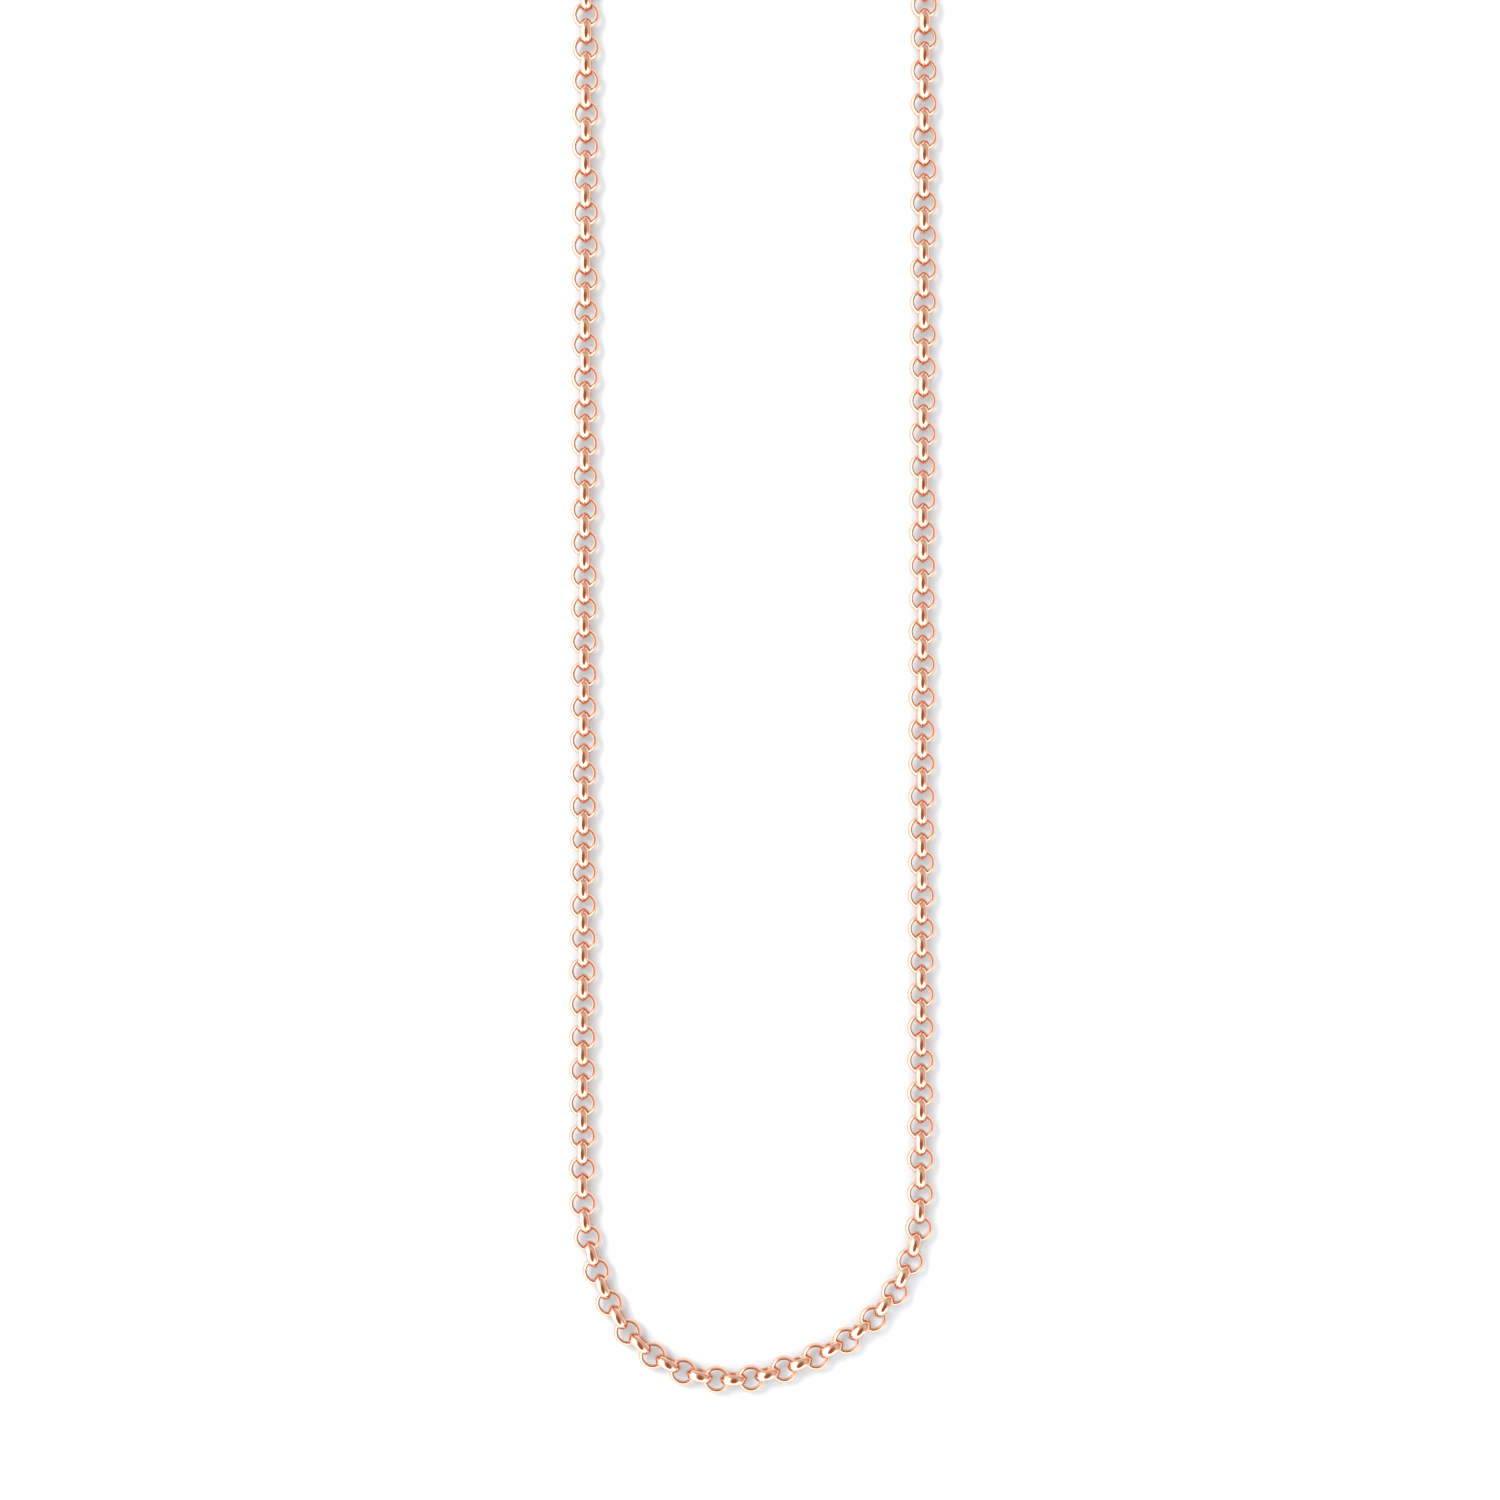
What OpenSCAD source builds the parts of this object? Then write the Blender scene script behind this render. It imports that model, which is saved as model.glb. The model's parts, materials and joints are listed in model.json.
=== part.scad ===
// Round belcher chain necklace with a bolt ring clasp, laid out flat and open.
// Links lie face-up and edge-up in turn. A face-up link turns its neighbours about Z,
// an edge-up link turns them about a level axis. The origin is on the resting surface,
// under the middle of the necklace's box. +Y runs up the two arms.

/* [Link] */
// Outside diameter of a link
link_od = 2.70; // [2.66:0.01:2.76]
// Inside diameter of a link
link_id = 1.84; // [1.82:0.01:1.90]
// Width of the D-section wire, along the link's own axis
link_w = 1.04; // [0.90:0.01:1.06]
// Width of the flat on the inside of the wire
link_flat = 0.66; // [0.50:0.01:0.66]
// Depth of the bevel at the wire's inner edges
link_bevel = 0.12; // [0.10:0.01:0.16]

/* [Chain] */
// Centre distance of neighbouring links in the straight arms
arm_pitch = 1.59; // [1.56:0.01:1.64]
// Centre distance of neighbouring links in the bottom, which is drawn tighter
bend_pitch = 1.66; // [1.60:0.01:1.66]
// Pairs of links on each side of the bottom link that have the tighter pitch
bend_pairs = 9; // [4:1:14]

/* [Shape of the bottom] */
// Slope of the bottom link, in degrees
bottom_tilt = 9.2; // [6:0.1:12]
// Bend radius to the left of the bottom link
left_corner_r = 12.8; // [12:0.1:15]
// Turn of the left bend, in degrees
left_corner_turn = 73; // [66:1:78]
// Bend radius of the left shoulder, which turns the rest of the way up
left_shoulder_r = 27; // [22:1:34]
// Bend radius to the right of the bottom link
right_corner_r = 13; // [12:0.5:15]
// Turn of that bend, in degrees
right_corner_turn = 6.2; // [4:0.2:10]
// Radius of the flatter stretch after it
right_flat_r = 32; // [26:1:40]
// Turn of the flatter stretch, in degrees
right_flat_turn = 12.7; // [8:0.1:16]
// Bend radius of the right shoulder, which turns the rest of the way up
right_shoulder_r = 15.8; // [15:0.1:18]

/* [Clasp] */
// Middle radius of the bolt ring's tube
bolt_ring_r = 2.70; // [2.6:0.05:3]
// Outside radius of the tube
tube_r = 0.80; // [0.75:0.01:0.85]
// Bore radius of the tube
bore_r = 0.55; // [0.53:0.01:0.58]
// Radius of the sliding bolt
bolt_r = 0.48; // [0.42:0.01:0.49]
// Opening of the bolt ring, in degrees
gap_turn = 45; // [38:1:46]
// Wire radius of the bolt ring's tail eye
eye_wire_r = 0.35; // [0.3:0.01:0.36]
// Wire radius of the jump ring
jump_wire_r = 0.40; // [0.32:0.01:0.42]
// Middle radius of the jump ring
jump_r = 1.70; // [1.66:0.01:1.80]
// Wire radius of the end ring
end_wire_r = 0.45; // [0.38:0.01:0.46]
// Middle radius of the end ring
end_r = 2.05; // [2.00:0.01:2.20]

/* [Hidden] */
arm_groups = 25;            // five-link lengths on each side of the bottom length
group_half = 2;             // links on each side of a length's middle link
group_links = 2 * group_half + 1;
last_link = group_links * arm_groups + group_half;
left = -1;
right = 1;
straight_up = 90;

side_names = ["left", "right"];
function two_digits(n) = str(n < 10 ? "0" : "", n);
function arm_name(side, n) = str(side_names[side < 0 ? 0 : 1], "_chain_", two_digits(n));
ARM_NODES = [for (side = [left, right], n = [1:arm_groups]) arm_name(side, n)];
CLASP_NODES = ["clasp_jump_ring", "bolt_ring_body", "spring_stop", "bolt_spring",
    "sliding_bolt", "thumb_knob", "end_ring"];

rose_gold = [0.91, 0.66, 0.53];
steel = [0.72, 0.73, 0.75];

// Link section
link_r = link_od / 2;
hole_r = link_id / 2;
wire_half = link_w / 2;
flat_half = link_flat / 2;
ring_faces = 96;
small_faces = 48;

// The dome is an arc through the wire's two sides and its crown
side_r = hole_r + link_bevel;
dome_rise = link_r - side_r;
dome_r = (wire_half * wire_half + dome_rise * dome_rise) / (2 * dome_rise);

// Path of the links. Step i of a side runs from one face-up link to the next.
left_bends = [[left_corner_r, left_corner_turn],
    [left_shoulder_r, straight_up + bottom_tilt - left_corner_turn]];
right_bends = [[right_corner_r, right_corner_turn], [right_flat_r, right_flat_turn],
    [right_shoulder_r, straight_up - bottom_tilt - right_corner_turn - right_flat_turn]];

function bend_length(bend) = bend[0] * bend[1] * PI / 180;
function turned(s, bends, i = 0) =
    i == len(bends) ? 0 :
    s < bend_length(bends[i]) ? bends[i][1] * s / bend_length(bends[i]) :
    bends[i][1] + turned(s - bend_length(bends[i]), bends, i + 1);
function step_length(i) = 2 * (i < bend_pairs ? bend_pitch : arm_pitch);
function step_middle(i) =
    2 * (min(i, bend_pairs) * bend_pitch + max(i - bend_pairs, 0) * arm_pitch) + step_length(i) / 2;
function heading(side, i) =
    side > 0 ? bottom_tilt + turned(step_middle(i), right_bends)
             : 180 + bottom_tilt - turned(step_middle(i), left_bends);
function along(turn, d) = d * [cos(turn), sin(turn)];

side_steps = (last_link + 1) / 2;
function face_up_links(side) =
    [for (i = 0, p = [0, 0]; i < side_steps; p = p + along(heading(side, i), step_length(i)), i = i + 1) p];
left_links = face_up_links(left);
right_links = face_up_links(right);

// Place of link k, counted from the bottom link: negative on the left, odd ones edge-up
function side_of(k) = k < 0 ? left : right;
function step_of(k) = floor(abs(k) / 2);
function is_edge_up(k) = abs(k) % 2 == 1;
function base_of(k) = (k < 0 ? left_links : right_links)[step_of(k)];
function link_turn(k) = heading(side_of(k), step_of(k));
function link_place(k) =
    base_of(k) + (is_edge_up(k) ? along(link_turn(k), step_length(step_of(k)) / 2) : [0, 0]);

// Clasp, end ring and their distances along the arms
jump_gap = 2.00;            // last left link to jump ring, centre to centre
eye_gap = 1.80;             // jump ring to tail eye
eye_r = link_r - eye_wire_r;
eye_sink = 0.22;            // depth at which the eye is soldered into the tube
clasp_gap = link_r - eye_sink + tube_r + bolt_ring_r;
end_gap = 2.30;             // last right link to end ring
jump_place = link_place(-last_link) + [0, jump_gap];
eye_place = jump_place + [0, eye_gap];
clasp_place = eye_place + [0, clasp_gap];
end_place = link_place(last_link) + [0, end_gap];

gap_start = 20;             // where the opening begins, measured from +X about the ring's centre
gap_end = gap_start + gap_turn;
seat_turn = 8;              // how far the bolt's tip reaches into the tube when shut
bolt_start = gap_start - seat_turn;
bolt_turn = gap_turn + 60;
bolt_tip_r = bolt_r - 0.03;
knob_at = gap_end + 11;
slot_half = 0.26;
slot_margin = 6;
stop_at = 233;
stop_turn = 12;
spring_end_margin = 2;
spring_start = bolt_start + bolt_turn + gap_turn + 3;
spring_turns = 10;
spring_wire_r = 0.08;
spring_coil_r = 0.36;
pin_r = 0.20;
pin_bore_r = 0.21;
knob_root = bolt_ring_r - 0.25;
knob_neck = bolt_ring_r + tube_r + 0.08;
knob_top = bolt_ring_r + tube_r + 0.55;
knob_r = 0.45;
knob_round = 0.12;

// The whole necklace's box
clasp_outer_r = bolt_ring_r + tube_r;
lowest_y = min([for (p = concat(left_links, right_links)) p.y]) - link_r;
highest_y = clasp_place.y + knob_top * sin(knob_at) + (knob_r - knob_round) * cos(knob_at);
leftmost_x = clasp_place.x - clasp_outer_r;
rightmost_x = end_place.x + end_r + end_wire_r;
middle = [(leftmost_x + rightmost_x) / 2, (lowest_y + highest_y) / 2];

// Puts a piece drawn about its own centre at a point of the path
module at(place) {
    translate([place.x - middle.x, place.y - middle.y, link_r]) children();
}

// Stands a ring up on edge, with its axis level and square to the heading
module edge_up(turn) {
    rotate([90, 0, turn]) children();
}

// The wire's section: flat inside with bevelled edges, domed outside
module link_section() {
    intersection() {
        translate([link_r - dome_r, 0]) circle(dome_r, $fn = small_faces);
        polygon([[hole_r, -flat_half], [side_r, -wire_half], [link_od, -wire_half],
            [link_od, wire_half], [side_r, wire_half], [hole_r, flat_half]]);
    }
}

// One link, its axis along Z
module link() {
    rotate_extrude($fn = ring_faces) link_section();
}

// A ring of round wire, its axis along Z
module wire_ring(r, wire_r) {
    rotate_extrude($fn = ring_faces) translate([r, 0]) circle(wire_r, $fn = small_faces);
}

// Five interlocked links, from link first to link first + 4
module chain_length(first) {
    color(rose_gold) {
        for (k = [first:first + group_links - 1]) {
            at(link_place(k)) {
                if (is_edge_up(k)) edge_up(link_turn(k)) link();
                else link();
            }
        }
    }
}

module arm_chain(side, n) {
    middle_link = side * group_links * n;
    chain_length(middle_link - group_half);
}

module clasp_jump_ring() {
    color(rose_gold) at(jump_place) wire_ring(jump_r, jump_wire_r);
}

// Part of a ring about the clasp's centre, from one angle through another
module clasp_arc(start, turn, wire_r) {
    rotate([0, 0, start]) rotate_extrude(angle = turn, $fn = ring_faces)
        translate([bolt_ring_r, 0]) circle(wire_r, $fn = small_faces);
}

module thumb_slot() {
    slot_start = knob_at - slot_margin;
    slot_turn = gap_turn + 2 * slot_margin;
    rotate([0, 0, slot_start]) rotate_extrude(angle = slot_turn, $fn = ring_faces)
        translate([bolt_ring_r, -slot_half]) square([2 * tube_r, 2 * slot_half]);
}

// C-shaped tube with the thumb slot in its outer wall and the tail eye soldered on
module bolt_ring_body() {
    color(rose_gold) at(clasp_place) {
        difference() {
            clasp_arc(gap_end, 360 - gap_turn, tube_r);
            clasp_arc(gap_end - 1, 362 - gap_turn, bore_r);
            thumb_slot();
        }
        translate([0, -clasp_gap, 0]) edge_up(straight_up) wire_ring(eye_r, eye_wire_r);
    }
}

// Plug crimped in the tube behind the spring
module spring_stop() {
    color(rose_gold) at(clasp_place) clasp_arc(stop_at, stop_turn, bore_r);
}

// Coil points: a helix whose axis follows the tube
coil_points_per_turn = 14;
coil_sides = 6;
coil_count = spring_turns * coil_points_per_turn;
coil_sweep = stop_at - spring_end_margin - spring_start;
function coil_middle(i) =
    let (turn = spring_start + coil_sweep * i / coil_count,
         twist = 360 * i / coil_points_per_turn,
         r = bolt_ring_r + spring_coil_r * cos(twist))
    [r * cos(turn), r * sin(turn), spring_coil_r * sin(twist)];
function coil_ring(i) =
    let (turn = spring_start + coil_sweep * i / coil_count,
         twist = 360 * i / coil_points_per_turn,
         out = [cos(turn) * cos(twist), sin(turn) * cos(twist), sin(twist)],
         forward = [-sin(turn), cos(turn), 0])
    [for (j = [0:coil_sides - 1])
        let (a = 360 * j / coil_sides)
        coil_middle(i) + spring_wire_r * (cos(a) * out + sin(a) * forward)];
coil_points = [for (i = [0:coil_count]) each coil_ring(i)];
coil_walls = [for (i = [0:coil_count - 1], j = [0:coil_sides - 1])
    let (a = i * coil_sides, b = a + coil_sides, n = (j + 1) % coil_sides)
    [a + j, a + n, b + n, b + j]];
coil_start_cap = [for (j = [coil_sides - 1:-1:0]) j];
coil_end_cap = [for (j = [0:coil_sides - 1]) coil_count * coil_sides + j];

module bolt_spring() {
    color(steel) at(clasp_place)
        polyhedron(coil_points, concat(coil_walls, [coil_start_cap, coil_end_cap]));
}

// Curved bolt with a round tip and a cross bore for the knob's pin
module sliding_bolt() {
    color(rose_gold) at(clasp_place) difference() {
        union() {
            clasp_arc(bolt_start, bolt_turn, bolt_r);
            rotate([0, 0, bolt_start]) translate([bolt_ring_r, 0, 0]) sphere(bolt_tip_r, $fn = small_faces);
        }
        rotate([0, 0, knob_at]) rotate([0, 90, 0])
            translate([0, 0, knob_root]) cylinder(h = 2 * tube_r, r = pin_bore_r, $fn = small_faces);
    }
}

// Pin set in the bolt, with a round-edged head outside the slot
module thumb_knob() {
    color(rose_gold) at(clasp_place) rotate([0, 0, knob_at]) rotate([0, 90, 0])
        rotate_extrude($fn = small_faces) polygon([
            [0, knob_root + 0.02],
            [pin_r, knob_root + 0.02],
            [pin_r, knob_neck],
            [knob_r - knob_round, knob_neck],
            [knob_r, knob_neck + knob_round],
            [knob_r, knob_top - knob_round],
            [knob_r - knob_round, knob_top],
            [0, knob_top]]);
}

module end_ring() {
    color(rose_gold) at(end_place) wire_ring(end_r, end_wire_r);
}

chain_length(-group_half);  // bottom_chain
for (side = [left, right], n = [1:arm_groups])
    arm_chain(side, n);
clasp_jump_ring();
bolt_ring_body();
spring_stop();
bolt_spring();
sliding_bolt();
thumb_knob();
end_ring();
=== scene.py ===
"""Looks of a rose gold belcher chain necklace with a bolt ring clasp, built round its fixed frame.

Every ring, tube and pin takes its place from the frame's own solids. The links are a Geometry Nodes
tree that runs once for each length of five, and the clasp is swept, turned and shelled mesh work.
"""

import json
import math
import random

import bmesh
import bpy
import numpy as np
from bpy.props import FloatProperty, FloatVectorProperty, IntProperty, PointerProperty
from mathutils import Matrix, Vector


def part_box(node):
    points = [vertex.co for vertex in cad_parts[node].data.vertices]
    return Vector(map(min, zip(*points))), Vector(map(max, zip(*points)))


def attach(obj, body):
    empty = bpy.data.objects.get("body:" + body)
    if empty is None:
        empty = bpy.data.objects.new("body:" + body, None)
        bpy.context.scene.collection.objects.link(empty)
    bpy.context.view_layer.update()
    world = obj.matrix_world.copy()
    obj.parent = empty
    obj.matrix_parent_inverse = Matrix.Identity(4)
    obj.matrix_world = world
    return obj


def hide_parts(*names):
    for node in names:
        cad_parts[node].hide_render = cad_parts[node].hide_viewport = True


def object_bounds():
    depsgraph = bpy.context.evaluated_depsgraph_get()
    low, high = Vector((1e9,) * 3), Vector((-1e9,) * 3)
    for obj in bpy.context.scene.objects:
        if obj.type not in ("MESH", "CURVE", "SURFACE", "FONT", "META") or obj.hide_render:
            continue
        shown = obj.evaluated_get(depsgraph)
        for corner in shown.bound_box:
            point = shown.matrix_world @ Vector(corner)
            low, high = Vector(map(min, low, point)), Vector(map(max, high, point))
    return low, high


bl_info = {
    "name": "Belcher Chain Necklace",
    "version": (1, 0, 0),
    "blender": (4, 5, 0),
    "location": "3D View > Sidebar > Necklace",
    "description": "Makes the looks of a rose gold belcher chain necklace and its bolt ring clasp",
    "category": "Add Mesh",
}

MM = 0.001
FULL_TURN = 2 * math.pi
UP = Vector((0, 0, 1))
WELD = 0.001 * MM                   # vertices nearer than this are one
SHARP_EDGE = math.radians(35)       # an edge that turns further than this is drawn sharp
WIRE_SIDES = 28                     # faces round the wire of the clasp's rings
ROD_SIDES = 32                      # faces round the rods inside the bolt ring
MIX_A, MIX_B, MIX_RESULT = 6, 7, 2  # a Mix node's sockets for two colours and their mixture

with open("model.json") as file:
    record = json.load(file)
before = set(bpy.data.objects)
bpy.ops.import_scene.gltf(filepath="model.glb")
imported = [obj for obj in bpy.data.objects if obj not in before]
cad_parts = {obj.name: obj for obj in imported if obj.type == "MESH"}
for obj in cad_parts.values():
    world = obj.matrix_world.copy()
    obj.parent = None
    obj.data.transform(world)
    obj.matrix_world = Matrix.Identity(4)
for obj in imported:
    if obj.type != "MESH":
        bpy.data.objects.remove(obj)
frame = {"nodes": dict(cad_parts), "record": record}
CAD_LOW, CAD_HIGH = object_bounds()
BODY_OF = {node: body for body, nodes in frame["record"]["behaviour"]["bodies"].items() for node in nodes}
CHAIN_NODES = sorted(node for node in frame["nodes"] if "chain" in node)


# Measures of the frame


def solids(node):
    """Vertex places of each separate solid in a CAD node, as arrays of rows."""
    shape = bmesh.new()
    shape.from_mesh(frame["nodes"][node].data)
    bmesh.ops.remove_doubles(shape, verts=shape.verts, dist=WELD)
    shape.verts.ensure_lookup_table()
    seen = set()
    found = []
    for first in shape.verts:
        if first.index in seen:
            continue
        seen.add(first.index)
        waiting = [first]
        places = []
        while waiting:
            vertex = waiting.pop()
            places.append(vertex.co[:])
            for edge in vertex.link_edges:
                other = edge.other_vert(vertex)
                if other.index not in seen:
                    seen.add(other.index)
                    waiting.append(other)
        found.append(np.array(places))
    shape.free()
    return found


class Ring:
    """Place and sizes of one round ring: its centre, its axis, and how far its metal reaches."""

    def __init__(self, places):
        low, high = places.min(0), places.max(0)
        centre = (low + high) / 2
        spread = np.linalg.eigh(np.cov((places - centre).T))[1]
        axis = Vector(spread[:, 0])
        # A level ring's axis points up, and the axis of a ring on edge points towards +X.
        level = abs(axis.z) > 0.5
        facing = (axis.z, 0) if level else (axis.x, axis.y)
        if facing < (0, 0):
            axis.negate()
        along = (places - centre) @ np.array(axis)
        across = np.linalg.norm(places - centre - np.outer(along, np.array(axis)), axis=1)
        self.centre = Vector(centre)
        self.axis = axis
        self.outer = across.max()
        self.inner = across.min()
        self.half_width = np.abs(along).max()

    def turn(self, towards):
        """Rotation that lays a ring drawn about Z in this ring's place, its X towards a direction."""
        x = (towards - self.axis * towards.dot(self.axis)).normalized()
        return Matrix((x, self.axis.cross(x), self.axis)).transposed()


def rings(node):
    """The rings of a chain node in order, along whichever of X and Y the node is longer."""
    found = [Ring(places) for places in solids(node)]
    spans = [max(ring.centre[axis] for ring in found) - min(ring.centre[axis] for ring in found)
             for axis in range(2)]
    longer = 0 if spans[0] > spans[1] else 1
    return sorted(found, key=lambda ring: ring.centre[longer])


def half_height(node):
    """Half the height of a CAD node."""
    low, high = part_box(node)
    return (high[2] - low[2]) / 2


LINK = rings("bottom_chain")[0]
JOINTS = {joint["name"]: joint for joint in frame["record"]["behaviour"]["joints"]}
BOLT_TRAVEL = JOINTS["bolt_travel"]
CLASP_CENTRE = Vector(BOLT_TRAVEL["pos_m"])
MOUTH_TURN = math.radians(BOLT_TRAVEL["range_deg"][1])
# The tube is measured on the side away from the tail eye, which stands higher.
TUBE_RADIUS = max(place[2] - CLASP_CENTRE.z for place in solids("bolt_ring_body")[0]
                  if place[1] > CLASP_CENTRE.y)
RING_RADIUS = CLASP_CENTRE.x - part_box("bolt_ring_body")[0][0] - TUBE_RADIUS
BORE_RADIUS = half_height("spring_stop")
BOLT_RADIUS = half_height("sliding_bolt")


# Settings that a user would change


class ChainSizes(bpy.types.PropertyGroup):
    """Sizes of one link and how finely it is drawn."""

    outer_radius: FloatProperty(name="Outer radius", description="Half the width of a link",
                                default=LINK.outer, unit="LENGTH", precision=5)
    inner_radius: FloatProperty(name="Hole radius", description="Half the width of a link's hole",
                                default=LINK.inner, unit="LENGTH", precision=5)
    half_width: FloatProperty(name="Half width", description="Half the width of the link's wire",
                              default=LINK.half_width, unit="LENGTH", precision=5)
    inner_round: FloatProperty(name="Inner rounding", description="Depth of rounding on the hole's edges",
                               default=0.12 * MM, unit="LENGTH", precision=5)
    steps_round: IntProperty(name="Steps round", description="Faces round a link", default=20, min=12)
    steps_across: IntProperty(name="Steps across", description="Faces round a link's wire",
                              default=10, min=6)
    tone_seed: IntProperty(name="Tone seed", description="Picks the small change of tone from link to link",
                           default=7, min=0)


class ClaspSizes(bpy.types.PropertyGroup):
    """Sizes of the bolt ring and of what works inside it."""

    ring_radius: FloatProperty(name="Ring radius", description="Middle radius of the bolt ring",
                               default=RING_RADIUS, unit="LENGTH", precision=5)
    tube_radius: FloatProperty(name="Tube radius", description="Outer radius of the ring's tube",
                               default=TUBE_RADIUS, unit="LENGTH", precision=5)
    bore_radius: FloatProperty(name="Bore radius", description="Inner radius of the ring's tube",
                               default=BORE_RADIUS, unit="LENGTH", precision=5)
    bolt_radius: FloatProperty(name="Bolt radius", description="Radius of the sliding bolt",
                               default=BOLT_RADIUS, unit="LENGTH", precision=5)
    mouth_start: FloatProperty(name="Mouth", description="Where the ring's opening begins",
                               default=math.radians(20), subtype="ANGLE")
    mouth_turn: FloatProperty(name="Mouth turn", description="How far the ring's opening reaches",
                              default=MOUTH_TURN, subtype="ANGLE")
    knob_turn: FloatProperty(name="Knob turn", description="How far past the opening the knob stands",
                             default=math.radians(11), subtype="ANGLE")
    slot_margin: FloatProperty(name="Slot margin", description="Turn left free past the knob in its slot",
                               default=math.radians(6), subtype="ANGLE")
    slot_half: FloatProperty(name="Slot half width", description="Half the width of the thumb slot",
                             default=0.26 * MM, unit="LENGTH", precision=5)
    eye_radius: FloatProperty(name="Eye radius", description="Middle radius of the tail eye",
                              default=1.0 * MM, unit="LENGTH", precision=5)
    eye_wire: FloatProperty(name="Eye wire", description="Wire radius of the tail eye",
                            default=0.35 * MM, unit="LENGTH", precision=5)
    coils: IntProperty(name="Coils", description="Turns of the bolt's spring", default=10, min=4)
    coil_wire: FloatProperty(name="Coil wire", description="Wire radius of the bolt's spring",
                             default=0.08 * MM, unit="LENGTH", precision=5)
    flutes: IntProperty(name="Flutes", description="Grooves round the thumb knob's head", default=14,
                        min=6)


class FinishSettings(bpy.types.PropertyGroup):
    """Colours and polish of the metals."""

    gold: FloatVectorProperty(name="Rose gold", description="Colour of the polished rose gold",
                              subtype="COLOR", size=3, min=0, max=1, default=(0.94, 0.57, 0.42))
    # The deep colour tints the random drift of tone, and on the links' hole walls it is painted shade.
    deep_gold: FloatVectorProperty(name="Deep rose gold", description="Colour where polishing misses",
                                   subtype="COLOR", size=3, min=0, max=1, default=(0.87, 0.43, 0.28))
    polish: FloatProperty(name="Polish", description="Roughness of the best polished metal",
                          default=0.11, min=0.02, max=0.6)
    scratches: FloatProperty(name="Scratches", description="How strongly fine scratches show",
                             default=0.10, min=0, max=1)
    steel: FloatVectorProperty(name="Spring steel", description="Colour of the spring's wire",
                               subtype="COLOR", size=3, min=0, max=1, default=(0.62, 0.60, 0.57))


class StageSettings(bpy.types.PropertyGroup):
    """Camera, floor and light."""

    view_centre: FloatVectorProperty(name="View centre", description="Point of the floor under the camera",
                                     subtype="TRANSLATION", size=3, default=(0.22 * MM, -41.6 * MM, 0))
    view_width: FloatProperty(name="View width", description="Width of floor that the camera sees",
                              default=145.2 * MM, unit="LENGTH")
    view_roll: FloatProperty(name="View roll", description="Turn of the camera about its own line of sight",
                             default=math.radians(0.19), subtype="ANGLE")
    lens: FloatProperty(name="Lens", description="Focal length in millimetres", default=100, min=20)
    fill: FloatProperty(name="Fill", description="Even light on the floor", default=1.16, min=0)
    key: FloatProperty(name="Key", description="Strength of the light from the upper left",
                       default=4.0, min=0)


class NecklaceSettings(bpy.types.PropertyGroup):
    """All the settings of the necklace."""

    chain: PointerProperty(name="Chain", description="Sizes of the links", type=ChainSizes)
    clasp: PointerProperty(name="Clasp", description="Sizes of the bolt ring", type=ClaspSizes)
    finish: PointerProperty(name="Finish", description="Colours of the metals", type=FinishSettings)
    stage: PointerProperty(name="Stage", description="Camera and light", type=StageSettings)


# Node trees


def add_node(tree, kind, **settings):
    """A node of a tree, with its settings made."""
    node = tree.nodes.new(kind)
    for name, value in settings.items():
        setattr(node, name, value)
    return node


def feed(tree, node, **inputs):
    """Sets or links a node's inputs, named with underscores for spaces, and returns the node."""
    for name, value in inputs.items():
        socket = node.inputs[name.replace("_", " ")]
        if isinstance(value, bpy.types.NodeSocket):
            tree.links.new(value, socket)
        else:
            socket.default_value = value
    return node


def maths(tree, operation, *values):
    """Result of a Math node on numbers and sockets."""
    node = add_node(tree, "ShaderNodeMath", operation=operation)
    for socket, value in zip(node.inputs, values):
        if isinstance(value, bpy.types.NodeSocket):
            tree.links.new(value, socket)
        else:
            socket.default_value = value
    return node.outputs[0]


def new_group(name, kind, inputs, outputs):
    """An empty node group with named sockets, given as (name, type) or (name, type, default)."""
    group = bpy.data.node_groups.new(name, kind)
    for direction, sockets in (("INPUT", inputs), ("OUTPUT", outputs)):
        for title, socket_type, *default in sockets:
            socket = group.interface.new_socket(title, in_out=direction, socket_type=socket_type)
            if default:
                socket.default_value = default[0]
    return group


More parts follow.
